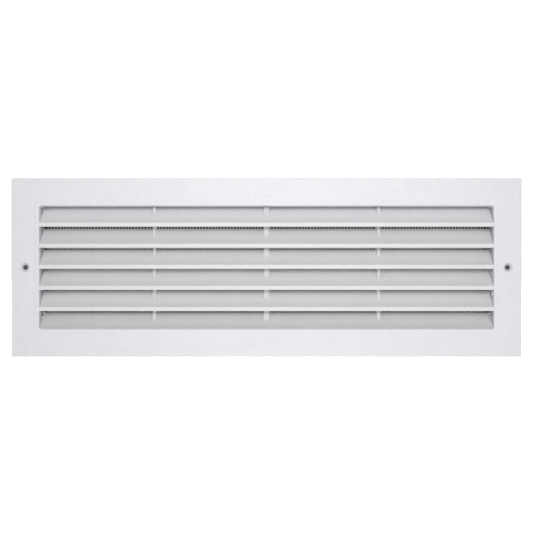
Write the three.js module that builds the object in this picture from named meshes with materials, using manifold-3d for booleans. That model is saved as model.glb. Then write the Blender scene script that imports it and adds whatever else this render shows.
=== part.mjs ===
// Louvred air grille for a wall opening: a moulded frame, six fixed louvre blades, three support combs,
// an insect screen and the frame that holds the screen in.
// Millimetres. +X right, +Z up, the face looks along -Y. The origin is the middle of the grille on the
// wall plane, so the flange lies in front of y = 0 and the collar goes into the wall behind it.

import * as THREE from 'three';
import { mergeVertices } from 'three/addons/utils/BufferGeometryUtils.js';
import Module from 'manifold-3d';

// ---------------------------------------------------------------- driving dimensions

const GAP = 0.3;                      // left between pieces that touch
const OVERLAP = 1;                    // how far joined solids and cutters run past each other
const CURVE_STEPS = 3;                // of a rounded corner, in half steps
const ROUND_SIDES = 24;

// flange
const WIDTH = 500;
const HEIGHT = 175;
const FLANGE_DEPTH = 6;               // face to wall
const SKIN = 2.7;                     // thickness of the face
const RIM = 2.5;                      // wall round the outside of the hollow flange
const EDGE_ROUND = 0.5;
const WEB = 1.4;                      // stiffening webs inside the hollow flange
const WEB_SPACING = 55.75;
const WEB_PAIRS = 4;                  // above and below the opening, on each side of the middle
const WEB_BACK = -0.5;

// opening and collar
const OPEN_WIDTH = 446;
const OPEN_HEIGHT = 121;
const OPEN_RADIUS = 2.3;
const COLLAR_WALL = 2.5;
const COLLAR_BACK = 18;               // how far the collar reaches into the wall

// fixing holes and blind bosses
const FIXING_X = 237;
const FIXING_RADIUS = 2.35;
const HEAD_RADIUS = 4.35;             // countersink at the face
const HEAD_DEPTH = 2.4;
const PAD_RADIUS = 6.5;
const PAD_BORE = 3.2;                 // clears the screw behind the skin
const BOSS_RADIUS = 4.5;
const BOSS_BORE = 1.8;
const BOSS_X = 237;
const BOSS_Z = 74;

// louvre blades
const BLADES = 6;
const LIP_HEIGHT = 4.35;
const LIP_DEPTH = 2.2;
const LIP_ROUND = 0.7;
const PLATE = 1.8;                    // thickness of the sloping plate
const LIP_SETBACK = 0.5;              // of the lips behind the face
const LOUVRE_FRONT = LIP_SETBACK - FLANGE_DEPTH;
const LOUVRE_RUN = 14.7;              // front to back
const LOUVRE_RISE = 15;               // from the lip's top edge to the rear edge
const BEND_RUN = 0.6;                 // where the curve bends, as shares of its run and rise
const BEND_RISE = 0.3;
const FIRST_BAY = 16.2;               // from the top of the opening to the first lip
const PITCH = 20.7;
const LAST_RISE = 0.6;                // height of the lowest blade's front above the sill
const TENON_FROM = 0.38;              // tenons at the blade ends, as shares of the plate's length
const TENON_TO = 0.74;
const TENON_LENGTH = 2;

// support combs
const COMB_FRONT = 3.32;
const COMB_BACK = 12.6;
const TOOTH_FOOT = 6.9;               // heights of a tooth's leaning face above the lip of its blade
const TOOTH_SHOULDER = 16.4;
const SHOULDER_FRONT = 5.5;
const COMBS = [
  { name: 'support_comb_left', x: -OPEN_WIDTH / 4, thickness: 3.4 },
  { name: 'support_comb_centre', x: 0, thickness: 5.8 },
  { name: 'support_comb_right', x: OPEN_WIDTH / 4, thickness: 3.4 },
];

// screen, its ledges and its retainer
const LEDGE_HEIGHT = 2.2;
const LEDGE_FRONT = 11.1;
const SCREEN = 0.6;
const SCREEN_FRONT = COMB_BACK + GAP;
const RETAINER = 2.2;
const RETAINER_FRONT = SCREEN_FRONT + SCREEN + GAP;
const RETAINER_BORDER = 5;
const BAR_MARGIN = 1;                 // how far a retainer bar shows beside its comb
const RETAINER_SIDE_GAP = 0.4;
const NOSE_HEIGHT = 0.9;              // snap noses that hold the retainer
const NOSE_LENGTH = 12;
const NOSE_FRONT = RETAINER_FRONT + RETAINER + GAP;
const NOSE_BACK = COLLAR_BACK - 0.2;

// ---------------------------------------------------------------- finishes

const whitePlastic = new THREE.MeshStandardMaterial({ color: 0xf1f1f4, roughness: 0.42, metalness: 0 });
const combPlastic = new THREE.MeshStandardMaterial({ color: 0xe9e9ee, roughness: 0.5, metalness: 0 });
const retainerPlastic = new THREE.MeshStandardMaterial({ color: 0xececef, roughness: 0.5, metalness: 0 });
const screenNylon = new THREE.MeshStandardMaterial({ color: 0xb9b9bd, roughness: 0.7, metalness: 0 });

// ---------------------------------------------------------------- solids

const WELD = 1e-4;                    // corners closer than this are one corner

const wasm = await Module();
wasm.setup();

function toSolid(geometry) {
  const bare = geometry.clone();
  bare.deleteAttribute('normal');
  bare.deleteAttribute('uv');
  const merged = mergeVertices(bare, WELD);
  return new wasm.Manifold(new wasm.Mesh({
    numProp: 3,
    vertProperties: new Float32Array(merged.attributes.position.array),
    triVerts: new Uint32Array(merged.index.array),
  }));
}

function toGeometry(solid) {
  const mesh = solid.getMesh();
  const geometry = new THREE.BufferGeometry();
  geometry.setAttribute('position', new THREE.BufferAttribute(mesh.vertProperties, 3));
  geometry.setIndex(new THREE.BufferAttribute(mesh.triVerts, 1));
  return geometry;
}

const join = (solids) => solids.reduce((whole, next) => whole.add(next));
const cut = (solid, tools) => solid.subtract(join(tools));

// A shape drawn in X and Z, as thick as yFront to yBack.
function alongY(shape, yFront, yBack) {
  const geometry = new THREE.ExtrudeGeometry(shape, {
    depth: yBack - yFront, bevelEnabled: false, curveSegments: CURVE_STEPS,
  });
  return geometry.rotateX(Math.PI / 2).translate(0, yBack, 0);
}

// A profile drawn in Y and Z, as long as length and centred on x = 0.
function alongX(profile, length) {
  const geometry = new THREE.ExtrudeGeometry(profile, {
    depth: length, bevelEnabled: false, curveSegments: CURVE_STEPS,
  });
  const turn = new THREE.Matrix4().makeBasis(
    new THREE.Vector3(0, 1, 0), new THREE.Vector3(0, 0, 1), new THREE.Vector3(1, 0, 0));
  return geometry.applyMatrix4(turn).translate(-length / 2, 0, 0);
}

function block(x0, x1, y0, y1, z0, z1) {
  const geometry = new THREE.BoxGeometry(x1 - x0, y1 - y0, z1 - z0);
  return geometry.translate((x0 + x1) / 2, (y0 + y1) / 2, (z0 + z1) / 2);
}

// A round piece on an axis along Y; radii from front to back.
function round(x, z, frontRadius, backRadius, yFront, yBack) {
  const geometry = new THREE.CylinderGeometry(backRadius, frontRadius, yBack - yFront, ROUND_SIDES);
  return geometry.translate(x, (yFront + yBack) / 2, z);
}

function rectangle(width, height, radius = 0) {
  const x = width / 2;
  const z = height / 2;
  const shape = new THREE.Shape();
  if (radius === 0) {
    return shape.moveTo(-x, -z).lineTo(x, -z).lineTo(x, z).lineTo(-x, z).closePath();
  }
  shape.absarc(x - radius, -z + radius, radius, -Math.PI / 2, 0);
  shape.absarc(x - radius, z - radius, radius, 0, Math.PI / 2);
  shape.absarc(-x + radius, z - radius, radius, Math.PI / 2, Math.PI);
  shape.absarc(-x + radius, -z + radius, radius, Math.PI, 1.5 * Math.PI);
  return shape.closePath();
}

// ---------------------------------------------------------------- louvre profile

// The upper face of a blade, from the lip's top edge to the rear edge. Heights count from the lip's top.
const upperFace = new THREE.QuadraticBezierCurve(
  new THREE.Vector2(LOUVRE_FRONT + LIP_ROUND, 0),
  new THREE.Vector2(LOUVRE_FRONT + BEND_RUN * LOUVRE_RUN, BEND_RISE * LOUVRE_RISE),
  new THREE.Vector2(LOUVRE_FRONT + LOUVRE_RUN, LOUVRE_RISE),
);

// The plate between two shares of the upper face's length, grown all round by an allowance.
function plateProfile(from = 0, to = 1, grow = 0) {
  const steps = 10;
  const upper = [];
  const lower = [];
  for (let i = 0; i <= steps; i += 1) {
    const share = from + (to - from) * (i / steps);
    const along = upperFace.getTangent(share);
    const up = new THREE.Vector2(-along.y, along.x);
    let reach = 0;
    if (i === 0) {
      reach = -grow;
    } else if (i === steps) {
      reach = grow;
    }
    const point = upperFace.getPoint(share).addScaledVector(along, reach);
    upper.push(point.clone().addScaledVector(up, grow));
    lower.unshift(point.clone().addScaledVector(up, -PLATE - grow));
  }
  return new THREE.Shape([...upper, ...lower]);
}

function lipProfile() {
  const front = LOUVRE_FRONT;
  const back = front + LIP_DEPTH;
  const shape = new THREE.Shape();
  shape.moveTo(back, 0);
  shape.lineTo(front + LIP_ROUND, 0);
  shape.absarc(front + LIP_ROUND, -LIP_ROUND, LIP_ROUND, Math.PI / 2, Math.PI);
  shape.absarc(front + LIP_ROUND, LIP_ROUND - LIP_HEIGHT, LIP_ROUND, Math.PI, 1.5 * Math.PI);
  shape.lineTo(back, -LIP_HEIGHT);
  return shape.closePath();
}

// Height of a blade's lip top above the middle of the opening. Blade 1 is the top one, and the lowest
// blade starts at the sill.
function bladeHeight(number) {
  if (number === BLADES) {
    return LAST_RISE - OPEN_HEIGHT / 2;
  }
  return OPEN_HEIGHT / 2 - FIRST_BAY - (number - 1) * PITCH;
}

const bladeNumbers = Array.from({ length: BLADES }, (_, i) => i + 1);

// ---------------------------------------------------------------- louvre blades

const BLADE_LENGTH = OPEN_WIDTH - 2 * GAP;

// Each blade keeps inside the opening, so the lowest has no lip: its plate starts behind the sill.
function makeBlade(number) {
  const height = bladeHeight(number);
  const inside = rectangle(BLADE_LENGTH, OPEN_HEIGHT - 2 * GAP, OPEN_RADIUS);
  const passage = toSolid(alongY(inside, -FLANGE_DEPTH, COLLAR_BACK).translate(0, 0, -height));
  const plate = toSolid(alongX(plateProfile(), BLADE_LENGTH));
  const lip = toSolid(alongX(lipProfile(), BLADE_LENGTH));
  const tenons = toSolid(alongX(plateProfile(TENON_FROM, TENON_TO), BLADE_LENGTH + 2 * TENON_LENGTH));
  const mesh = new THREE.Mesh(toGeometry(plate.add(lip).intersect(passage).add(tenons)), whitePlastic);
  mesh.name = `louvre_blade_${number}`;
  mesh.position.z = height;
  return mesh;
}

// ---------------------------------------------------------------- support combs

// The space in front of the tooth that stands on a blade. The tooth leans back from its foot to a shoulder
// behind the lip above. Past the shoulder the profile runs into the slot of the blade above.
function toothRelief(number) {
  const height = bladeHeight(number);
  const front = COMB_FRONT - OVERLAP;
  const shape = new THREE.Shape();
  shape.moveTo(front, height + TOOTH_FOOT);
  shape.lineTo(COMB_FRONT, height + TOOTH_FOOT);
  shape.lineTo(SHOULDER_FRONT, height + TOOTH_SHOULDER);
  if (number === 1) {
    shape.lineTo(SHOULDER_FRONT, OPEN_HEIGHT / 2 + OVERLAP);
    shape.lineTo(front, OPEN_HEIGHT / 2 + OVERLAP);
  } else {
    const above = bladeHeight(number - 1);
    shape.lineTo(SHOULDER_FRONT, above + TOOTH_FOOT + (SHOULDER_FRONT - COMB_FRONT));
    shape.lineTo(front, above + TOOTH_FOOT - OVERLAP);
  }
  return shape.closePath();
}

// An upright rib behind the lips, slotted for every blade and joined by a spine at the back.
function makeComb({ name, x, thickness }) {
  const top = OPEN_HEIGHT / 2 - GAP;
  const slab = block(-thickness / 2, thickness / 2, COMB_FRONT, COMB_BACK, -top, top);
  const slot = alongX(plateProfile(0, 1, GAP), 2 * thickness);
  const slots = bladeNumbers.map((n) => toSolid(slot.clone().translate(0, 0, bladeHeight(n))));
  const reliefs = bladeNumbers.map((n) => toSolid(alongX(toothRelief(n), 2 * thickness)));
  const mesh = new THREE.Mesh(toGeometry(cut(toSolid(slab), [...slots, ...reliefs])), combPlastic);
  mesh.name = name;
  mesh.position.x = x;
  return mesh;
}

// ---------------------------------------------------------------- face frame

const COLLAR_WIDTH = OPEN_WIDTH + 2 * COLLAR_WALL;
const COLLAR_HEIGHT = OPEN_HEIGHT + 2 * COLLAR_WALL;
const HOLLOW_FRONT = SKIN - FLANGE_DEPTH;
const RIM_MIDDLE = RIM / 2;

function flangeShell() {
  const outline = rectangle(WIDTH - 2 * EDGE_ROUND, HEIGHT - 2 * EDGE_ROUND);
  const rounded = new THREE.ExtrudeGeometry(outline, {
    depth: FLANGE_DEPTH - EDGE_ROUND,
    bevelSize: EDGE_ROUND,
    bevelThickness: EDGE_ROUND,
    bevelSegments: 3,
  });
  rounded.rotateX(Math.PI / 2);
  const behindWall = block(-WIDTH, WIDTH, 0, 2 * EDGE_ROUND, -HEIGHT, HEIGHT);
  const hollow = alongY(rectangle(WIDTH - 2 * RIM, HEIGHT - 2 * RIM), HOLLOW_FRONT, OVERLAP);
  return cut(toSolid(rounded), [toSolid(behindWall), toSolid(hollow)]);
}

function collarBody() {
  const outline = rectangle(COLLAR_WIDTH, COLLAR_HEIGHT, COLLAR_WALL);
  return toSolid(alongY(outline, -FLANGE_DEPTH / 2, COLLAR_BACK));
}

function webs() {
  const solids = [];
  const front = HOLLOW_FRONT - OVERLAP;
  const inner = COLLAR_HEIGHT / 2 - OVERLAP;
  const outer = HEIGHT / 2 - RIM_MIDDLE;
  for (let i = 0; i < 2 * WEB_PAIRS; i += 1) {
    const x = (i - WEB_PAIRS + 0.5) * WEB_SPACING;
    solids.push(block(x - WEB / 2, x + WEB / 2, front, WEB_BACK, inner, outer));
    solids.push(block(x - WEB / 2, x + WEB / 2, front, WEB_BACK, -outer, -inner));
  }
  for (const z of [-WEB_SPACING / 2, WEB_SPACING / 2]) {
    const side = COLLAR_WIDTH / 2 - OVERLAP;
    solids.push(block(side, WIDTH / 2 - RIM_MIDDLE, front, WEB_BACK, z - WEB / 2, z + WEB / 2));
    solids.push(block(RIM_MIDDLE - WIDTH / 2, -side, front, WEB_BACK, z - WEB / 2, z + WEB / 2));
  }
  return solids.map(toSolid);
}

const bossPlaces = [-1, 0, 1].flatMap((side) => [-BOSS_Z, BOSS_Z].map((z) => [side * BOSS_X, z]));
const fixingPlaces = [-FIXING_X, FIXING_X];

function bossesAndPads() {
  const front = HOLLOW_FRONT - OVERLAP;
  const bosses = bossPlaces.map(([x, z]) => round(x, z, BOSS_RADIUS, BOSS_RADIUS, front, 0));
  const pads = fixingPlaces.map((x) => round(x, 0, PAD_RADIUS, PAD_RADIUS, front, 0));
  return [...bosses, ...pads].map(toSolid);
}

function bossAndFixingHoles() {
  const face = -FLANGE_DEPTH;
  const blind = bossPlaces.map(([x, z]) => round(x, z, BOSS_BORE, BOSS_BORE, HOLLOW_FRONT, OVERLAP));
  const heads = fixingPlaces.map((x) => round(
    x, 0, HEAD_RADIUS + OVERLAP, FIXING_RADIUS, face - OVERLAP, face + HEAD_DEPTH));
  const holes = fixingPlaces.map((x) => round(x, 0, FIXING_RADIUS, FIXING_RADIUS, face, 0));
  const pads = fixingPlaces.map((x) => round(x, 0, PAD_BORE, PAD_BORE, HOLLOW_FRONT, OVERLAP));
  return [...blind, ...heads, ...holes, ...pads].map(toSolid);
}

function tenonSlots() {
  const slot = alongX(plateProfile(TENON_FROM, TENON_TO, GAP), OPEN_WIDTH + 4 * COLLAR_WALL);
  return bladeNumbers.map((n) => toSolid(slot.clone().translate(0, 0, bladeHeight(n))));
}

// The screen's ledges stop short of the combs, which slide in from behind between them.
function ledges() {
  const ends = [-OPEN_WIDTH / 2 - OVERLAP];
  for (const { x, thickness } of COMBS) {
    ends.push(x - thickness / 2 - GAP, x + thickness / 2 + GAP);
  }
  ends.push(OPEN_WIDTH / 2 + OVERLAP);
  const wall = OPEN_HEIGHT / 2;
  const solids = [];
  for (let i = 0; i < ends.length; i += 2) {
    solids.push(block(ends[i], ends[i + 1], LEDGE_FRONT, COMB_BACK, wall - LEDGE_HEIGHT, wall + OVERLAP));
    solids.push(block(ends[i], ends[i + 1], LEDGE_FRONT, COMB_BACK, -wall - OVERLAP, LEDGE_HEIGHT - wall));
  }
  return solids.map(toSolid);
}

// A wedge that slopes in from the collar's rear edge and catches behind the retainer.
function nose() {
  const root = COLLAR_WALL / 4;       // sunk into the collar
  const profile = new THREE.Shape();
  profile.moveTo(NOSE_FRONT, root);
  profile.lineTo(NOSE_FRONT, -NOSE_HEIGHT);
  profile.lineTo(NOSE_BACK, 0);
  profile.lineTo(NOSE_BACK, root);
  return alongX(profile.closePath(), NOSE_LENGTH);
}

function noses() {
  const solids = [];
  for (const x of [-1.5, -0.5, 0.5, 1.5].map((share) => share * (OPEN_WIDTH / 4))) {
    solids.push(nose().translate(x, 0, OPEN_HEIGHT / 2));
    solids.push(nose().rotateY(Math.PI).translate(x, 0, -OPEN_HEIGHT / 2));
  }
  solids.push(nose().rotateY(Math.PI / 2).translate(OPEN_WIDTH / 2, 0, 0));
  solids.push(nose().rotateY(-Math.PI / 2).translate(-OPEN_WIDTH / 2, 0, 0));
  return solids.map(toSolid);
}

function makeFaceFrame() {
  const passage = rectangle(OPEN_WIDTH, OPEN_HEIGHT, OPEN_RADIUS);
  const opening = alongY(passage, -FLANGE_DEPTH - OVERLAP, COLLAR_BACK + OVERLAP);
  const body = join([flangeShell(), collarBody(), ...webs(), ...bossesAndPads()]);
  const opened = cut(body, [toSolid(opening), ...tenonSlots(), ...bossAndFixingHoles()]);
  const mesh = new THREE.Mesh(toGeometry(join([opened, ...ledges(), ...noses()])), whitePlastic);
  mesh.name = 'face_frame';
  return mesh;
}

// ---------------------------------------------------------------- insect screen and retainer

const PACK_WIDTH = OPEN_WIDTH - 2 * RETAINER_SIDE_GAP;
const PACK_HEIGHT = OPEN_HEIGHT - 2 * RETAINER_SIDE_GAP;

function makeScreen() {
  const outline = rectangle(PACK_WIDTH, PACK_HEIGHT, OPEN_RADIUS);
  const mesh = new THREE.Mesh(alongY(outline, 0, SCREEN), screenNylon);
  mesh.name = 'insect_screen';
  mesh.position.y = SCREEN_FRONT;
  return mesh;
}

function makeRetainer() {
  const bars = COMBS.flatMap(({ x, thickness }) => {
    const half = thickness / 2 + BAR_MARGIN;
    return [x - half, x + half];
  });
  const edges = [RETAINER_BORDER - PACK_WIDTH / 2, ...bars, PACK_WIDTH / 2 - RETAINER_BORDER];
  const top = PACK_HEIGHT / 2 - RETAINER_BORDER;
  const windows = [];
  for (let i = 0; i < edges.length; i += 2) {
    windows.push(toSolid(block(edges[i], edges[i + 1], -OVERLAP, RETAINER + OVERLAP, -top, top)));
  }
  const slab = toSolid(alongY(rectangle(PACK_WIDTH, PACK_HEIGHT, OPEN_RADIUS), 0, RETAINER));
  const mesh = new THREE.Mesh(toGeometry(cut(slab, windows)), retainerPlastic);
  mesh.name = 'screen_retainer';
  mesh.position.y = RETAINER_FRONT;
  return mesh;
}

// ---------------------------------------------------------------- assembly

const louvres = new THREE.Group();
louvres.add(...bladeNumbers.map(makeBlade), ...COMBS.map(makeComb));

const screenPack = new THREE.Group();
screenPack.add(makeScreen(), makeRetainer());

const grille = new THREE.Group();
grille.add(makeFaceFrame(), louvres, screenPack);

export default grille;
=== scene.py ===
import math
import random

import bmesh
import bpy
from mathutils import Matrix, Vector


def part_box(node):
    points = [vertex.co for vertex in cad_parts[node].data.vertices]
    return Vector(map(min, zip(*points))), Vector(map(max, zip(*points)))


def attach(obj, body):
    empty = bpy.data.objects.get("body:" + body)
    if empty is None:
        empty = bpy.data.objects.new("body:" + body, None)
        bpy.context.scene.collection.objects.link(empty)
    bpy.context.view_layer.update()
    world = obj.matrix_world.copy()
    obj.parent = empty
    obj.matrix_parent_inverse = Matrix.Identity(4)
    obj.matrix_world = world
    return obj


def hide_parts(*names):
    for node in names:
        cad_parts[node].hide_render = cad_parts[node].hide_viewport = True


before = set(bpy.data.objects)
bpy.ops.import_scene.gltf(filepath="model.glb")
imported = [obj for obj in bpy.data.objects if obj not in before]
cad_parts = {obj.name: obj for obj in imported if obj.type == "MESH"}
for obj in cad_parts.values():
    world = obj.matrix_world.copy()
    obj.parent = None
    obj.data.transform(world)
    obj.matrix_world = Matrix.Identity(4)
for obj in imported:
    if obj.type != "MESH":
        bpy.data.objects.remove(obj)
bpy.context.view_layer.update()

MM = 0.001

# ------------------------------------------------------------------ sizes, in millimetres
# The face looks along -Y, Z is up and the wall plane is y = 0, as in the CAD model.

frame_low, frame_high = (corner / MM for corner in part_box("face_frame"))
screen_low, screen_high = (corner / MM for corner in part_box("insect_screen"))
retainer_low, retainer_high = (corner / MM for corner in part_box("screen_retainer"))

HALF_WIDTH = frame_high.x
HALF_HEIGHT = frame_high.z
FACE = frame_low.y                     # crest of the bead round the opening
COLLAR_BACK = frame_high.y
SKIN = 2.7
RIM = 2.5
EDGE_ROUND = 0.55
OUTER_RADIUS = 0.9                     # of the flange's four corners

HALF_OPEN_X = 223.0
HALF_OPEN_Z = 60.5
OPEN_RADIUS = 2.3
COLLAR_WALL = 2.5
BEAD_WIDTH = 3.4
BEAD_RISE = 0.22
BEAD_SLOPE = 0.5                       # width of the bead's outer slope
FACE_LEVEL = FACE + BEAD_RISE          # the flat of the flange
HOLLOW_LEVEL = FACE + SKIN             # back of the flange's skin

FIXING_X = 237.0
FIXING_RADIUS = 2.35
HEAD_RADIUS = 4.35
HEAD_DEPTH = 2.4
PAD_RADIUS = 6.5
PAD_BORE = 3.2
BOSS_RADIUS = 4.5
BOSS_BORE = 1.8
BOSS_X = 237.0
BOSS_Z = 74.0
WEB = 1.4
WEB_SPACING = 55.75
WEB_PAIRS = 4                          # above and below the opening, on each side of the middle
WEB_BACK = -0.5
SUNK = 0.5                             # how far joined solids run into each other
SUNK_DEEP = 0.8                        # the same, for webs and ledges
CHAMFER = 0.3
COLLAR_ROUND = 0.4

BLADES = 6
LIP_HEIGHT = 4.35
LIP_DEPTH = 2.2
LIP_ROUND = 0.7
UNDER_LIP = 1.6                        # from the lip's top to where its back meets the plate's underside
PLATE = 1.8
LIP_SETBACK = 0.5                      # of the lips behind the face
LOUVRE_FRONT = FACE + LIP_SETBACK
LOUVRE_RUN = 14.7
LOUVRE_RISE = 15.0
BEND_RUN = 0.6                         # where the curve bends, as shares of its run and rise
BEND_RISE = 0.3
REAR_ROUND = 0.5
LIP_BACK_ROUND = 0.4
FIRST_BAY = 16.2
PITCH = 20.7
LAST_RISE = 0.6                        # of the lowest blade's front above the sill
TENON_SPAN = (0.38, 0.74)

GAP = 0.3
CONTACT = 0.02                         # between pieces that touch on the real grille
LEDGE_FRONT = 11.1
LEDGE_HEIGHT = 2.2
NOSE_HEIGHT = 0.9
NOSE_LENGTH = 12.0
NOSE_FLAT = 0.35                       # the nose's crest, front to back
NOSE_STOP = 0.6                        # from the nose's thin end to the collar's rear edge
RETAINER_BORDER = 5.0
BAR_MARGIN = 1.0                       # how far a retainer bar shows beside its comb

TOOTH_SHOULDER = 16.4                  # height of a tooth's leaning face above the lip of its blade
SHOULDER_FRONT = 5.5
COMB_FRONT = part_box("support_comb_centre")[0].y / MM

MESH_PITCH_X = 3.10                    # of the insect screen's upright threads
MESH_PITCH_Z = 3.14
THREAD_AT = (-64.3, 41.4)              # places of one upright and one level thread
THREAD_WIDTH = 0.95
THREAD_THICKNESS = 0.27
THREAD_DRIFT = 0.12                    # of a thread to either side of its even place

FRAY_RADIUS = 0.34                     # of the screen's frayed ends
FRAY_INSET = 0.5                       # of a frayed tip from the end wall
CURLS = [                              # blade, then (inset from the right wall, y, height above the lip)
    (4, [(3.2, 9.4, 15.9), (1.6, 6.0, 15.4), (0.8, 1.5, 13.4), (FRAY_INSET, -2.6, 9.8)]),
    (5, [(1.2, 9.4, 15.9), (0.7, 4.0, 15.9), (FRAY_INSET, -1.0, 14.2), (0.9, -3.0, 10.2)]),
]
FRINGES = [(1, 9), (-1, 4)]            # side of the opening and number of short ends, on the lowest blade

# tones that darken a plastic, as shares of its own
MARK_TONE = 0.945                      # the faint ring that each boss leaves on the face
MARK_WIDTH = 1.9
COUNTERSINK_TONE = 0.78
COUNTERSINK_WIDTH = 3.0
WALL_SHADE_TONE = 0.48                       # painted shade on the end walls, at its full depth from the face
WALL_SHADE_DEPTH = 12.0
FOOT_SHADE_TONE = 0.8                        # painted shade at the feet of the combs' teeth

COMBS = ["support_comb_left", "support_comb_centre", "support_comb_right"]
BLADE_NODES = [f"louvre_blade_{n}" for n in range(1, BLADES + 1)]


def blade_height(number):
    """Height of a blade's lip top above the middle of the opening. Blade 1 is the top one."""
    if number == BLADES:
        return LAST_RISE - HALF_OPEN_Z
    return HALF_OPEN_Z - FIRST_BAY - (number - 1) * PITCH


# ------------------------------------------------------------------ mesh helpers


def make_object(name, bm, smooth_angle=38):
    """A named object from a bmesh drawn in millimetres, shaded smooth up to an angle."""
    bmesh.ops.scale(bm, vec=(MM, MM, MM), verts=bm.verts)
    bmesh.ops.recalc_face_normals(bm, faces=bm.faces)
    mesh = bpy.data.meshes.new(name)
    bm.to_mesh(mesh)
    bm.free()
    piece = bpy.data.objects.new(name, mesh)
    bpy.context.scene.collection.objects.link(piece)
    shade(piece, smooth_angle)
    return piece


def shade(piece, smooth_angle=38):
    piece.data.polygons.foreach_set("use_smooth", [True] * len(piece.data.polygons))
    piece.data.set_sharp_from_angle(angle=math.radians(smooth_angle))


def apply_modifiers(piece):
    """Bakes the piece's modifiers into its mesh."""
    graph = bpy.context.evaluated_depsgraph_get()
    done = bpy.data.meshes.new_from_object(piece.evaluated_get(graph))
    piece.modifiers.clear()
    piece.data = done


def even_normals(piece):
    """Keeps large flat faces flat where they meet narrow rounded ones."""
    even = piece.modifiers.new("even", "WEIGHTED_NORMAL")
    even.keep_sharp = True
    even.weight = 80
    apply_modifiers(piece)


def round_edges(piece, width, segments=3, angle=40):
    bevel = piece.modifiers.new("bevel", "BEVEL")
    bevel.width = width * MM
    bevel.segments = segments
    bevel.limit_method = "ANGLE"
    bevel.angle_limit = math.radians(angle)
    apply_modifiers(piece)
    shade(piece)
    even_normals(piece)


def combine(piece, tools, operation):
    """Joins the tools to the piece, or cuts them from it."""
    for tool in tools:
        boolean = piece.modifiers.new("boolean", "BOOLEAN")
        boolean.object = tool
        boolean.operation = operation
        boolean.solver = "EXACT"
        apply_modifiers(piece)
        bpy.data.objects.remove(tool)


def loft(loops, closed):
    """A skin over loops that have the same number of points. closed joins the last loop to the first."""
    bm = bmesh.new()
    rings = [[bm.verts.new(point) for point in loop] for loop in loops]
    count = len(rings[0])
    pairs = list(zip(rings, rings[1:] + rings[:1])) if closed else list(zip(rings, rings[1:]))
    for ring, after in pairs:
        for i in range(count):
            j = (i + 1) % count
            bm.faces.new((ring[i], ring[j], after[j], after[i]))
    if not closed:
        bm.faces.new(rings[0])
        bm.faces.new(rings[-1][::-1])
    return bm


def block(low, high):
    bm = bmesh.new()
    middle = (Vector(low) + Vector(high)) / 2
    size = Vector(high) - Vector(low)
    bmesh.ops.create_cube(bm, size=1, matrix=Matrix.Translation(middle) @ Matrix.Diagonal((*size, 1)))
    return make_object("tool", bm)


def turned(x, z, profile, sides=48):
    """A round solid on an axis along Y; the profile lists (radius, y) from front to back."""
    loops = []
    for radius, y in profile:
        angles = [2 * math.pi * i / sides for i in range(sides)]
        loops.append([(x + radius * math.cos(a), y, z + radius * math.sin(a)) for a in angles])
    return make_object("tool", loft(loops, closed=False))


def prism(outline, x_low, x_high):
    """A solid with a constant outline in Y and Z."""
    ends = [[(x, y, z) for y, z in outline] for x in (x_low, x_high)]
    return loft(ends, closed=False)


def rounded_rectangle(half_x, half_z, radius, y, steps=8):
    points = []
    for sign_x, sign_z, start in ((1, 1, 0), (-1, 1, 90), (-1, -1, 180), (1, -1, 270)):
        for i in range(steps + 1):
            angle = math.radians(start + 90 * i / steps)
            x = sign_x * (half_x - radius) + radius * math.cos(angle)
            z = sign_z * (half_z - radius) + radius * math.sin(angle)
            points.append((x, y, z))
    return points


# ------------------------------------------------------------------ the face frame


def quarter_round(size, steps=5):
    """Pairs that go from (0, 0) to (size, size) round a quarter circle: first along, then across."""
    angles = [math.pi / 2 * i / steps for i in range(steps + 1)]
    return [(size * math.sin(a), size * (1 - math.cos(a))) for a in angles]


def moulding_loops():
    """Loops of the frame's section, from the rim's back, over the face and through the opening."""
    loops = []

    def ring(grow, y):
        """A loop round the opening, grown outwards by an amount."""
        loops.append(rounded_rectangle(HALF_OPEN_X + grow, HALF_OPEN_Z + grow, OPEN_RADIUS + grow, y))

    def outer_ring(shrink, y):
        loops.append(rounded_rectangle(HALF_WIDTH - shrink, HALF_HEIGHT - shrink, OUTER_RADIUS, y))

    outer_ring(0, 0)
    for along, across in quarter_round(EDGE_ROUND):
        outer_ring(across, FACE_LEVEL + EDGE_ROUND - along)
    for share in (0, 0.25, 0.5, 0.75, 1):
        rise = BEAD_RISE * (1 - math.cos(math.pi * share)) / 2
        ring(BEAD_WIDTH + BEAD_SLOPE * (1 - share), FACE_LEVEL - rise)
    for along, across in quarter_round(EDGE_ROUND):
        ring(EDGE_ROUND - along, FACE + across)
    for along, across in quarter_round(COLLAR_ROUND, 3):
        ring(across, COLLAR_BACK - COLLAR_ROUND + along)
    for along, across in quarter_round(COLLAR_ROUND, 3):
        ring(COLLAR_WALL - COLLAR_ROUND + along, COLLAR_BACK - across)
    ring(COLLAR_WALL, HOLLOW_LEVEL)
    outer_ring(RIM, HOLLOW_LEVEL)
    outer_ring(RIM, 0)
    return loops


def boss_places():
    return [(side * BOSS_X, up * BOSS_Z) for side in (-1, 0, 1) for up in (-1, 1)]


def frame_bosses():
    """The six blind bosses and the pads round the fixing holes, each with a chamfered end."""
    places = [(x, z, BOSS_RADIUS) for x, z in boss_places()]
    places += [(x, 0, PAD_RADIUS) for x in (-FIXING_X, FIXING_X)]
    bosses = []
    for x, z, radius in places:
        profile = [(radius, HOLLOW_LEVEL - SUNK), (radius, -CHAMFER), (radius - CHAMFER, 0)]
        bosses.append(turned(x, z, profile))
    return bosses


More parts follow.
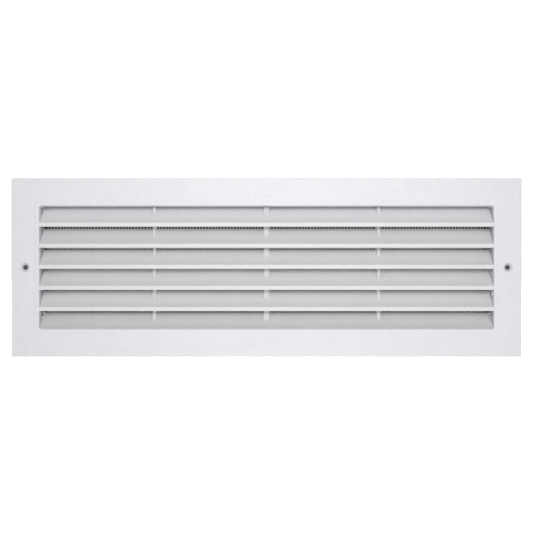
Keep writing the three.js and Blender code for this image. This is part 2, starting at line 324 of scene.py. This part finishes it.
def frame_webs():
    """Stiffening webs across the hollow flange."""
    webs = []
    root = HOLLOW_LEVEL - SUNK
    inner = HALF_OPEN_Z + COLLAR_WALL - SUNK_DEEP
    outer = HALF_HEIGHT - RIM + SUNK_DEEP
    for step in range(2 * WEB_PAIRS):
        x = (step - WEB_PAIRS + 0.5) * WEB_SPACING
        webs.append(block((x - WEB / 2, root, inner), (x + WEB / 2, WEB_BACK, outer)))
        webs.append(block((x - WEB / 2, root, -outer), (x + WEB / 2, WEB_BACK, -inner)))
    inner = HALF_OPEN_X + COLLAR_WALL - SUNK_DEEP
    outer = HALF_WIDTH - RIM + SUNK_DEEP
    for z in (-WEB_SPACING / 2, WEB_SPACING / 2):
        webs.append(block((inner, root, z - WEB / 2), (outer, WEB_BACK, z + WEB / 2)))
        webs.append(block((-outer, root, z - WEB / 2), (-inner, WEB_BACK, z + WEB / 2)))
    return webs


def frame_ledges():
    """Ledges for the screen, above and below, which stop short of the combs."""
    ends = [-HALF_OPEN_X - SUNK_DEEP]
    for name in COMBS:
        low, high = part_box(name)
        ends += [low.x / MM - GAP, high.x / MM + GAP]
    ends.append(HALF_OPEN_X + SUNK_DEEP)
    back = screen_low.y - GAP
    ledges = []
    for left, right in zip(ends[::2], ends[1::2]):
        for side in (-1, 1):
            low, high = sorted((side * (HALF_OPEN_Z - LEDGE_HEIGHT), side * (HALF_OPEN_Z + SUNK_DEEP)))
            ledges.append(block((left, LEDGE_FRONT, low), (right, back, high)))
    return ledges


def nose(turn, place):
    """A wedge that catches behind the retainer, turned about Y by an angle in degrees."""
    front = retainer_high.y + GAP
    back = COLLAR_BACK - NOSE_STOP
    crest = [(front, -NOSE_HEIGHT), (front + NOSE_FLAT, -NOSE_HEIGHT)]
    outline = [(front, SUNK), *crest, (back, 0), (back, SUNK)]
    piece = make_object("tool", prism(outline, -NOSE_LENGTH / 2, NOSE_LENGTH / 2))
    turned_by = Matrix.Rotation(math.radians(turn), 4, "Y")
    piece.data.transform(Matrix.Translation(Vector(place) * MM) @ turned_by)
    return piece


def frame_noses():
    noses = [nose(90, (HALF_OPEN_X, 0, 0)), nose(-90, (-HALF_OPEN_X, 0, 0))]
    for share in (-0.75, -0.25, 0.25, 0.75):
        noses.append(nose(0, (share * HALF_OPEN_X, 0, HALF_OPEN_Z)))
        noses.append(nose(180, (share * HALF_OPEN_X, 0, -HALF_OPEN_Z)))
    return noses


def frame_cuts():
    """Countersunk fixing holes, bores in the bosses and the slots for the tenons."""
    cuts = []
    ease = 0.25                        # of the countersink's rim
    for x in (-FIXING_X, FIXING_X):
        cuts.append(turned(x, 0, [
            (HEAD_RADIUS + ease + SUNK, FACE_LEVEL - ease / 2),
            (HEAD_RADIUS + ease, FACE_LEVEL),
            (HEAD_RADIUS, FACE_LEVEL + ease),
            (FIXING_RADIUS, FACE + HEAD_DEPTH),
            (FIXING_RADIUS, HOLLOW_LEVEL),
            (PAD_BORE, HOLLOW_LEVEL),
            (PAD_BORE, 1),
        ]))
    for x, z in boss_places():
        cuts.append(turned(x, z, [(BOSS_BORE, HOLLOW_LEVEL), (BOSS_BORE, 1)], sides=32))
    reach = HALF_OPEN_X + 2 * COLLAR_WALL
    for number in range(1, BLADES + 1):
        outline = plate_outline(*TENON_SPAN, grow=GAP, height=blade_height(number))
        for side in (-1, 1):
            ends = sorted((side * (HALF_OPEN_X - 1), side * reach))
            cuts.append(make_object("tool", prism(outline, *ends)))
    return cuts


def make_face_frame():
    piece = make_object("frame_moulding", loft(moulding_loops(), closed=True))
    combine(piece, frame_bosses() + frame_webs() + frame_ledges() + frame_noses(), "UNION")
    combine(piece, frame_cuts(), "DIFFERENCE")
    shade(piece)
    even_normals(piece)
    return piece


# ------------------------------------------------------------------ louvre blades


def curve_point(share):
    """A point of a blade's upper face and its direction; the face is a quadratic Bezier curve."""
    start = Vector((LOUVRE_FRONT + LIP_ROUND, 0))
    bend = Vector((LOUVRE_FRONT + BEND_RUN * LOUVRE_RUN, BEND_RISE * LOUVRE_RISE))
    end = Vector((LOUVRE_FRONT + LOUVRE_RUN, LOUVRE_RISE))
    point = (1 - share) ** 2 * start + 2 * share * (1 - share) * bend + share ** 2 * end
    along = (1 - share) * (bend - start) + share * (end - bend)
    return point, along.normalized()


def plate_outline(start, end, grow=0.0, height=0.0, steps=16):
    """Outline in Y and Z of the sloping plate, grown all round by an allowance."""
    upper = []
    lower = []
    for i in range(steps + 1):
        point, along = curve_point(start + (end - start) * i / steps)
        up = Vector((-along.y, along.x))
        if i == 0:
            point = point - along * grow
        if i == steps:
            point = point + along * grow
        upper.append(point + up * grow)
        lower.append(point - up * (PLATE + grow))
    return [(p.x, p.y + height) for p in upper + lower[::-1]]


def arc(centre, radius, start, end, steps=6):
    angles = [math.radians(start + (end - start) * i / steps) for i in range(steps + 1)]
    return [(centre[0] + radius * math.cos(a), centre[1] + radius * math.sin(a)) for a in angles]


def blade_outline(number):
    """Section of a blade: concave upper face, rounded rear edge, underside and rounded lip."""
    steps = 20
    faces = [curve_point(i / steps) for i in range(steps + 1)]
    rear, along = faces[-1]
    up = Vector((-along.y, along.x))
    tip_angle = math.degrees(math.atan2(along.y, along.x))
    upper_centre = rear - along * REAR_ROUND - up * REAR_ROUND
    lower_centre = upper_centre - up * (PLATE - 2 * REAR_ROUND)
    points = [tuple(point) for point, _ in faces if (point - rear).dot(along) < -REAR_ROUND]
    points += arc(upper_centre, REAR_ROUND, tip_angle + 90, tip_angle)
    points += arc(lower_centre, REAR_ROUND, tip_angle, tip_angle - 90)
    back = LOUVRE_FRONT + LIP_DEPTH
    for point, direction in faces[-2::-1]:
        under = point + Vector((direction.y, -direction.x)) * PLATE
        if under.x > back + REAR_ROUND and (under - rear).dot(along) < -REAR_ROUND:
            points.append(tuple(under))
    if number == BLADES:
        sill = CONTACT - LAST_RISE
        points = [(y, z) for y, z in points if z > sill]
        points.append((LOUVRE_FRONT + LIP_ROUND, sill))
    else:
        points.append((back, -UNDER_LIP))
        points += arc((back - LIP_BACK_ROUND, LIP_BACK_ROUND - LIP_HEIGHT), LIP_BACK_ROUND, 0, -90)
        points += arc((LOUVRE_FRONT + LIP_ROUND, LIP_ROUND - LIP_HEIGHT), LIP_ROUND, 270, 180)
        points += arc((LOUVRE_FRONT + LIP_ROUND, -LIP_ROUND), LIP_ROUND, 180, 90)[:-1]
    height = blade_height(number)
    return [(y, z + height) for y, z in points]


def make_blade(number):
    node = BLADE_NODES[number - 1]
    half = HALF_OPEN_X - CONTACT
    low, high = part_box(node)
    piece = make_object(f"blade_{number}", prism(blade_outline(number), -half, half))
    round_edges(piece, 0.2, segments=2, angle=60)
    tenon = prism(plate_outline(*TENON_SPAN, height=blade_height(number)), low.x / MM, high.x / MM)
    combine(piece, [make_object("tool", tenon)], "UNION")
    shade(piece)
    even_normals(piece)
    return piece


# ------------------------------------------------------------------ support combs


def comb_outline(front, back, top):
    """Outline of a comb: a spine at the back and teeth that lean back from a foot on each blade."""
    points = [(back, -top), (back, top), (SHOULDER_FRONT, top)]
    for number in range(1, BLADES + 1):
        height = blade_height(number)
        slot = plate_outline(0, 1, grow=CONTACT, height=height, steps=28)
        upper = slot[:len(slot) // 2]
        lower = slot[len(slot) // 2:]
        if height + TOOTH_SHOULDER < top:
            points.append((SHOULDER_FRONT, height + TOOTH_SHOULDER))
        points += [p for p in upper if p[0] > front]
        points += [p for p in lower if p[0] > SHOULDER_FRONT]
    points.append((SHOULDER_FRONT, -top))
    return points


def make_comb(node):
    low, high = (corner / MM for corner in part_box(node))
    outline = comb_outline(low.y, high.y, high.z)
    piece = make_object(node + "_moulding", prism(outline, low.x, high.x))
    round_edges(piece, 0.4, segments=3, angle=50)
    return piece


# ------------------------------------------------------------------ insect screen


def thread(points, across, thickness_axis, sides=6):
    """Rings of an oval thread along a path; across is the direction of its width."""
    rings = []
    for point in points:
        ring = []
        for i in range(sides):
            angle = 2 * math.pi * i / sides
            side = across * (THREAD_WIDTH / 2 * math.cos(angle))
            rise = thickness_axis * (THREAD_THICKNESS / 2 * math.sin(angle))
            ring.append(point + side + rise)
        rings.append(ring)
    return rings


def add_thread(bm, rings):
    made = [[bm.verts.new(p) for p in ring] for ring in rings]
    count = len(made[0])
    for ring, after in zip(made, made[1:]):
        for i in range(count):
            j = (i + 1) % count
            bm.faces.new((ring[i], ring[j], after[j], after[i]))
    bm.faces.new(made[0][::-1])
    bm.faces.new(made[-1])


def thread_places(low, high, pitch, one):
    """Evenly pitched thread positions between two edges, where one thread's place is given."""
    first = math.ceil((low + THREAD_WIDTH / 2 - one) / pitch)
    last = math.floor((high - THREAD_WIDTH / 2 - one) / pitch)
    return [one + i * pitch for i in range(first, last + 1)]


def over_blade(number, x, share, lift):
    """A point above a blade's upper face, at a share of the way from the lip to the rear edge."""
    point, along = curve_point(share)
    up = Vector((-along.y, along.x))
    place = point + up * lift
    return Vector((x, place.x, place.y + blade_height(number)))


def loose_paths(rng):
    """Frayed ends of the screen that come forward past the blades' rear edges, beside the end walls."""
    paths = []
    for number, curl in CURLS:
        height = blade_height(number)
        paths.append([Vector((HALF_OPEN_X - inset, y, height + rise)) for inset, y, rise in curl])
    most = max(count for _, count in FRINGES)
    # Each short end springs from the lowest blade, arches forward and ends at the end wall.
    for side, count in FRINGES:
        for i in range(count):
            share = 0.95 - 0.75 * i / most + rng.uniform(-0.03, 0.03)
            root = over_blade(BLADES, side * (HALF_OPEN_X - rng.uniform(1.6, 3.0)), share, 0.4)
            reach = rng.uniform(1.8, 4.2) * (1.2 - 0.6 * i / count)
            tip = root + Vector((0, -reach, rng.uniform(-0.6, 0.8)))
            tip.x = side * (HALF_OPEN_X - FRAY_INSET)
            paths.append([root, (root + tip) / 2 + Vector((0, -0.3, 0.7)), tip])
    return paths


def loose_thread(path, sides=6, steps=8):
    """Rings of a thin round thread along a Catmull-Rom curve through its points."""
    curve = []
    for i in range(steps * (len(path) - 1) + 1):
        segment = min(i // steps, len(path) - 2)
        share = i / steps - segment
        before = path[max(segment - 1, 0)]
        start, end = path[segment], path[segment + 1]
        after = path[min(segment + 2, len(path) - 1)]
        curve.append(0.5 * (2 * start + (end - before) * share
                            + (2 * before - 5 * start + 4 * end - after) * share ** 2
                            + (3 * start - before - 3 * end + after) * share ** 3))
    rings = []
    for i, point in enumerate(curve):
        along = (curve[min(i + 1, len(curve) - 1)] - curve[max(i - 1, 0)]).normalized()
        across = along.cross(Vector((0, 0.3, 1))).normalized()
        rise = along.cross(across)
        angles = [2 * math.pi * k / sides for k in range(sides)]
        rings.append([point + FRAY_RADIUS * (math.cos(a) * across + math.sin(a) * rise) for a in angles])
    return rings


def make_screen():
    """A plain weave: upright and level threads that pass over and under each other."""
    rng = random.Random(4)
    middle = (screen_low.y + screen_high.y) / 2
    wave = THREAD_THICKNESS / 2 + CONTACT / 2
    xs = thread_places(screen_low.x, screen_high.x, MESH_PITCH_X, THREAD_AT[0])
    zs = thread_places(screen_low.z, screen_high.z, MESH_PITCH_Z, THREAD_AT[1])
    bm = bmesh.new()
    drift_x = [rng.uniform(-THREAD_DRIFT, THREAD_DRIFT) for _ in xs]
    drift_z = [rng.uniform(-THREAD_DRIFT, THREAD_DRIFT) for _ in zs]
    for i, x in enumerate(xs):
        path = [Vector((x + drift_x[i], middle, screen_low.z))]
        path += [Vector((x + drift_x[i], middle + wave * (-1) ** (i + j), z)) for j, z in enumerate(zs)]
        path.append(Vector((x + drift_x[i], middle, screen_high.z)))
        add_thread(bm, thread(path, Vector((1, 0, 0)), Vector((0, 1, 0))))
    for j, z in enumerate(zs):
        path = [Vector((screen_low.x, middle, z + drift_z[j]))]
        path += [Vector((x, middle - wave * (-1) ** (i + j), z + drift_z[j])) for i, x in enumerate(xs)]
        path.append(Vector((screen_high.x, middle, z + drift_z[j])))
        add_thread(bm, thread(path, Vector((0, 0, 1)), Vector((0, 1, 0))))
    for path in loose_paths(rng):
        add_thread(bm, loose_thread(path))
    return make_object("woven_screen", bm, smooth_angle=60)


# ------------------------------------------------------------------ screen retainer


def make_retainer():
    """A flat frame with a bar behind each comb, as a slab with four windows."""
    xs = [retainer_low.x, retainer_low.x + RETAINER_BORDER]
    for name in COMBS:
        low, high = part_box(name)
        xs += [low.x / MM - BAR_MARGIN, high.x / MM + BAR_MARGIN]
    xs += [retainer_high.x - RETAINER_BORDER, retainer_high.x]
    zs = [retainer_low.z, retainer_low.z + RETAINER_BORDER]
    zs += [retainer_high.z - RETAINER_BORDER, retainer_high.z]
    bm = bmesh.new()
    corners = {}
    for i, x in enumerate(xs):
        for k, z in enumerate(zs):
            corners[i, k] = bm.verts.new((x, retainer_low.y, z))
    faces = []
    for i in range(len(xs) - 1):
        for k in range(len(zs) - 1):
            window = k == 1 and i % 2 == 1
            if not window:
                loop = ((i, k), (i + 1, k), (i + 1, k + 1), (i, k + 1))
                faces.append(bm.faces.new([corners[c] for c in loop]))
    grown = bmesh.ops.extrude_face_region(bm, geom=faces)
    moved = [v for v in grown["geom"] if isinstance(v, bmesh.types.BMVert)]
    bmesh.ops.translate(bm, verts=moved, vec=(0, retainer_high.y - retainer_low.y, 0))
    piece = make_object("retainer_frame", bm)
    round_edges(piece, 0.35)
    return piece


# ------------------------------------------------------------------ materials


class Nodes:
    """A material's node tree with short calls to add and link nodes."""

    def __init__(self, name):
        self.material = bpy.data.materials.new(name)
        self.material.use_nodes = True
        self.tree = self.material.node_tree
        self.shader = self.tree.nodes["Principled BSDF"]

    def add(self, kind, **values):
        node = self.tree.nodes.new(kind)
        for key, value in values.items():
            setattr(node, key, value)
        return node

    def link(self, source, target):
        self.tree.links.new(source, target)

    def noise(self, scale, detail):
        coordinates = self.add("ShaderNodeTexCoord")
        noise = self.add("ShaderNodeTexNoise")
        noise.inputs["Scale"].default_value = scale
        noise.inputs["Detail"].default_value = detail
        self.link(coordinates.outputs["Object"], noise.inputs["Vector"])
        return noise.outputs["Fac"]

    def remap(self, value, low, high):
        ranged = self.add("ShaderNodeMapRange")
        ranged.inputs["From Min"].default_value = 0.3
        ranged.inputs["From Max"].default_value = 0.7
        ranged.inputs["To Min"].default_value = low
        ranged.inputs["To Max"].default_value = high
        self.link(value, ranged.inputs["Value"])
        return ranged.outputs["Result"]

    def place(self):
        """A node that gives the X, Y and Z of the point in the model."""
        parts = self.add("ShaderNodeSeparateXYZ")
        self.link(self.add("ShaderNodeTexCoord").outputs["Object"], parts.inputs["Vector"])
        return parts

    def connect(self, node, values):
        """Puts sockets or plain values into a node's inputs, in order."""
        for socket, value in zip(node.inputs, values):
            if isinstance(value, bpy.types.NodeSocket):
                self.link(value, socket)
            else:
                socket.default_value = value

    def math(self, operation, *values):
        node = self.add("ShaderNodeMath", operation=operation)
        self.connect(node, values)
        return node.outputs["Value"]

    def vector_math(self, operation, *values):
        node = self.add("ShaderNodeVectorMath", operation=operation)
        self.connect(node, values)
        return node.outputs["Value" if operation == "LENGTH" else "Vector"]

    def tint(self, colour, factor):
        return self.vector_math("MULTIPLY", colour, factor)

    def blend_colours(self, value, first, second):
        mix = self.add("ShaderNodeMix", data_type="RGBA")
        mix.inputs["A"].default_value = (*first, 1)
        mix.inputs["B"].default_value = (*second, 1)
        self.link(value, mix.inputs["Factor"])
        return mix.outputs["Result"]


def moulded_plastic(name, warm, cool, roughness=0.42, speckle=0.035, tones=()):
    """Satin moulded plastic: a faint mottle of tone, uneven gloss and a fine moulding grain."""
    nodes = Nodes(name)
    cloud = nodes.remap(nodes.noise(70, 4), 0, 1)
    colour = nodes.blend_colours(cloud, warm, cool)
    colour = nodes.tint(colour, nodes.remap(nodes.noise(420, 3), 1 - speckle, 1 + speckle))
    for tone in tones:
        colour = nodes.tint(colour, tone(nodes))
    nodes.link(colour, nodes.shader.inputs["Base Color"])
    gloss = nodes.remap(nodes.noise(160, 2), roughness - 0.05, roughness + 0.05)
    nodes.link(gloss, nodes.shader.inputs["Roughness"])
    add_bump(nodes, 2600, strength=0.035, distance=0.2)
    return nodes.material


def add_bump(nodes, scale, strength, distance):
    """A fine relief from a noise; its distance is in millimetres."""
    bump = nodes.add("ShaderNodeBump")
    bump.inputs["Strength"].default_value = strength
    bump.inputs["Distance"].default_value = distance * MM
    nodes.link(nodes.noise(scale, 2), bump.inputs["Height"])
    nodes.link(bump.outputs["Normal"], nodes.shader.inputs["Normal"])


def darker_ring(nodes, places, radius, width, tone):
    """A factor that falls to a tone in a soft ring round each place and its mirror images in X and Z."""
    coordinates = nodes.add("ShaderNodeTexCoord")
    mirrored = nodes.vector_math("ABSOLUTE", coordinates.outputs["Object"])
    distances = []
    for x, z in places:
        offset = nodes.vector_math("SUBTRACT", mirrored, (x * MM, 0, z * MM))
        flat = nodes.vector_math("MULTIPLY", offset, (1, 0, 1))
        distances.append(nodes.vector_math("LENGTH", flat))
    nearest = nodes.math("MINIMUM", distances[0], distances[-1])
    off_ring = nodes.math("ABSOLUTE", nodes.math("SUBTRACT", nearest, radius * MM))
    ranged = nodes.add("ShaderNodeMapRange", interpolation_type="SMOOTHSTEP")
    ranged.inputs["From Min"].default_value = 0
    ranged.inputs["From Max"].default_value = width / 2 * MM
    ranged.inputs["To Min"].default_value = tone
    ranged.inputs["To Max"].default_value = 1
    nodes.link(off_ring, ranged.inputs["Value"])
    return ranged.outputs["Result"]


def boss_marks(nodes):
    return darker_ring(nodes, [(0, BOSS_Z), (BOSS_X, BOSS_Z)], BOSS_RADIUS, MARK_WIDTH, MARK_TONE)


# Painted shade in the sloping countersinks of the fixing holes.
def countersink_shade(nodes):
    middle = (FIXING_RADIUS + HEAD_RADIUS) / 2
    return darker_ring(nodes, [(FIXING_X, 0)], middle, COUNTERSINK_WIDTH, COUNTERSINK_TONE)


def depth_tone(nodes, depth, front, back, front_tone, back_tone):
    """A factor that goes smoothly from one tone to another between two depths along Y."""
    ranged = nodes.add("ShaderNodeMapRange", interpolation_type="SMOOTHSTEP")
    ranged.inputs["From Min"].default_value = front * MM
    ranged.inputs["From Max"].default_value = back * MM
    ranged.inputs["To Min"].default_value = front_tone
    ranged.inputs["To Max"].default_value = back_tone
    nodes.link(depth, ranged.inputs["Value"])
    return ranged.outputs["Result"]


def painted_foot_shade(nodes):
    """Painted shade at the feet of the combs' teeth, which are the teeth's foremost points."""
    depth = nodes.place().outputs["Y"]
    return depth_tone(nodes, depth, COMB_FRONT, SHOULDER_FRONT, FOOT_SHADE_TONE, 1)


def painted_wall_shade(nodes):
    """Painted shade on the end walls inside the opening. It deepens with the depth and stops at the screen.
    """
    place = nodes.place()
    depth = place.outputs["Y"]
    wall_shade_factor = depth_tone(nodes, depth, FACE, FACE + WALL_SHADE_DEPTH, 1, WALL_SHADE_TONE)
    sideways = nodes.math("ABSOLUTE", place.outputs["X"])
    on_end_wall = nodes.math("COMPARE", sideways, HALF_OPEN_X * MM, GAP * MM)
    past_screen = nodes.math("GREATER_THAN", depth, screen_low.y * MM)
    unshaded = nodes.math("MAXIMUM", nodes.math("SUBTRACT", 1, on_end_wall), past_screen)
    return nodes.math("MAXIMUM", wall_shade_factor, unshaded)


def screen_fibre():
    """Matt off-white thread with a fine twist."""
    nodes = Nodes("screen_fibre")
    tone = nodes.remap(nodes.noise(900, 3), 0, 1)
    colour = nodes.blend_colours(tone, (0.80, 0.80, 0.81), (0.88, 0.88, 0.90))
    nodes.link(colour, nodes.shader.inputs["Base Color"])
    nodes.link(nodes.remap(nodes.noise(400, 2), 0.6, 0.8), nodes.shader.inputs["Roughness"])
    nodes.shader.inputs["Subsurface Weight"].default_value = 0.8
    nodes.shader.inputs["Subsurface Radius"].default_value = (1, 1, 1)
    nodes.shader.inputs["Subsurface Scale"].default_value = 0.001
    add_bump(nodes, 5200, strength=0.3, distance=0.1)
    return nodes.material


def finish_piece(piece, material, slot, *replaced):
    piece.data.materials.clear()
    piece.data.materials.append(material)
    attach(piece, "root")
    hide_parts(*replaced)


# ------------------------------------------------------------------ stage, light and camera

CAMERA_DISTANCE = 755.0                # from the face, in millimetres
FRAME_SPAN = 522.2                     # what the picture's width covers at the face
CAMERA_RISE = 0.95
SENSOR = 36.0
FLOOR_DROP = 420.0                     # of the floor below the middle of the grille
AMBIENT = 0.44
HOLE_CARD_Y = 0.2                      # of the dark cards behind the fixing holes


def make_floor():
    bm = bmesh.new()
    bmesh.ops.create_grid(bm, x_segments=1, y_segments=1, size=20000)
    bmesh.ops.translate(bm, verts=bm.verts, vec=(0, 0, -FLOOR_DROP))
    floor = make_object("floor", bm)
    nodes = Nodes("floor_white")
    nodes.shader.inputs["Base Color"].default_value = (1, 1, 1, 1)
    nodes.shader.inputs["Roughness"].default_value = 1
    nodes.shader.inputs["Specular IOR Level"].default_value = 0
    nodes.shader.inputs["Emission Color"].default_value = (1, 1, 1, 1)
    nodes.shader.inputs["Emission Strength"].default_value = 0.9
    floor.data.materials.append(nodes.material)
    floor.visible_diffuse = False
    floor.visible_glossy = False


def make_dark_cards(name, cards, tone):
    """One-sided dark cards, given as middles and half sizes. They stand for the unlit space in the wall."""
    bm = bmesh.new()
    for x, y, half_x, half_z in cards:
        corners = [(x - half_x, y, -half_z), (x + half_x, y, -half_z),
                   (x + half_x, y, half_z), (x - half_x, y, half_z)]
        bm.faces.new([bm.verts.new(c) for c in corners])
    bmesh.ops.scale(bm, vec=(MM, MM, MM), verts=bm.verts)
    mesh = bpy.data.meshes.new(name)
    bm.to_mesh(mesh)
    bm.free()
    card = bpy.data.objects.new(name, mesh)
    bpy.context.scene.collection.objects.link(card)
    nodes = Nodes(name)
    nodes.shader.inputs["Base Color"].default_value = (tone, tone, tone, 1)
    nodes.shader.inputs["Roughness"].default_value = 1
    nodes.shader.inputs["Specular IOR Level"].default_value = 0
    side = nodes.add("ShaderNodeNewGeometry")
    clear = nodes.add("ShaderNodeBsdfTransparent")
    mix = nodes.add("ShaderNodeMixShader")
    nodes.link(side.outputs["Backfacing"], mix.inputs["Fac"])
    nodes.link(nodes.shader.outputs["BSDF"], mix.inputs[1])
    nodes.link(clear.outputs["BSDF"], mix.inputs[2])
    nodes.link(mix.outputs["Shader"], nodes.tree.nodes["Material Output"].inputs["Surface"])
    card.data.materials.append(nodes.material)
    card.visible_diffuse = False
    card.visible_glossy = False
    card.visible_shadow = False


def make_light(name, place, size, watts):
    """A soft rectangular light aimed at the middle of the grille."""
    lamp = bpy.data.lights.new(name, "AREA")
    lamp.shape = "RECTANGLE"
    lamp.size, lamp.size_y = (side * MM for side in size)
    lamp.energy = watts
    light = bpy.data.objects.new(name, lamp)
    light.location = Vector(place) * MM
    light.rotation_mode = "QUATERNION"
    light.rotation_quaternion = (-Vector(place)).to_track_quat("-Z", "Y")
    bpy.context.scene.collection.objects.link(light)


def make_world():
    """White to the eye, with a soft even light of its own strength."""
    world = bpy.data.worlds.new("studio")
    world.use_nodes = True
    tree = world.node_tree
    seen = tree.nodes["Background"]
    seen.inputs["Color"].default_value = (1, 1, 1, 1)
    seen.inputs["Strength"].default_value = 1.05
    ambient = tree.nodes.new("ShaderNodeBackground")
    ambient.inputs["Color"].default_value = (1, 1, 1, 1)
    ambient.inputs["Strength"].default_value = AMBIENT
    path = tree.nodes.new("ShaderNodeLightPath")
    mix = tree.nodes.new("ShaderNodeMixShader")
    tree.links.new(path.outputs["Is Camera Ray"], mix.inputs["Fac"])
    tree.links.new(ambient.outputs["Background"], mix.inputs[1])
    tree.links.new(seen.outputs["Background"], mix.inputs[2])
    tree.links.new(mix.outputs["Shader"], tree.nodes["World Output"].inputs["Surface"])
    bpy.context.scene.world = world
    bpy.context.scene.view_settings.view_transform = "Standard"


def make_camera():
    data = bpy.data.cameras.new("camera")
    data.sensor_width = SENSOR
    data.lens = SENSOR * CAMERA_DISTANCE / FRAME_SPAN
    camera = bpy.data.objects.new("camera", data)
    camera.location = Vector((0, FACE - CAMERA_DISTANCE, CAMERA_RISE)) * MM
    camera.rotation_euler = (math.pi / 2, 0, 0)
    bpy.context.scene.collection.objects.link(camera)
    bpy.context.scene.camera = camera


# ------------------------------------------------------------------ the scene

# The frame's white plastic carries painted shade: darker deep on the end walls and in the countersinks.
white_plastic = moulded_plastic(
    "white_plastic", (0.733, 0.725, 0.750), (0.717, 0.707, 0.742), speckle=0.026,
    tones=(boss_marks, countersink_shade, painted_wall_shade))
# Painted shade: the blades have a slightly darker copy of the frame's white plastic.
blade_plastic_painted_shade = moulded_plastic(
    "blade_plastic_painted_shade", (0.714, 0.712, 0.725), (0.702, 0.699, 0.715), speckle=0.02)
# Painted shade: the lowest blade has a darker copy of the blade plastic.
sill_plastic_painted_shade = moulded_plastic(
    "sill_plastic_painted_shade", (0.636, 0.634, 0.647), (0.624, 0.621, 0.637), speckle=0.02)
# Painted shade: the combs' teeth darken towards their feet, where they meet the blades.
comb_plastic = moulded_plastic(
    "comb_plastic", (0.72, 0.718, 0.73), (0.70, 0.697, 0.712), roughness=0.5, tones=(painted_foot_shade,))
retainer_plastic = moulded_plastic(
    "retainer_plastic", (0.70, 0.70, 0.71), (0.68, 0.68, 0.70), roughness=0.5)

make_camera()
make_world()
make_light("upper softbox", (40, -1000, 300), (900, 260), 3.7)
make_light("near softbox", (40, -800, 250), (200, 200), 0.8)
make_light("high fill", (30, -480, 420), (250, 200), 0.42)
make_light("low fill", (40, -480, -420), (250, 200), 2.2)
make_floor()
behind_screen = (screen_high.y + retainer_low.y) / 2
make_dark_cards("dark_wall", [(0, behind_screen, HALF_OPEN_X, HALF_OPEN_Z)], tone=0.026)
hole_cards = [(x, HOLE_CARD_Y, PAD_RADIUS, PAD_RADIUS) for x in (-FIXING_X, FIXING_X)]
make_dark_cards("dark_holes", hole_cards, tone=0.14)

finish_piece(make_face_frame(), white_plastic, "white_plastic", "face_frame")
for number in range(1, BLADES + 1):
    plastic = sill_plastic_painted_shade if number == BLADES else blade_plastic_painted_shade
    finish_piece(make_blade(number), plastic, "white_plastic", BLADE_NODES[number - 1])
for node in COMBS:
    finish_piece(make_comb(node), comb_plastic, "comb_plastic", node)
finish_piece(make_screen(), screen_fibre(), "screen_nylon", "insect_screen")
finish_piece(make_retainer(), retainer_plastic, "retainer_plastic", "screen_retainer")
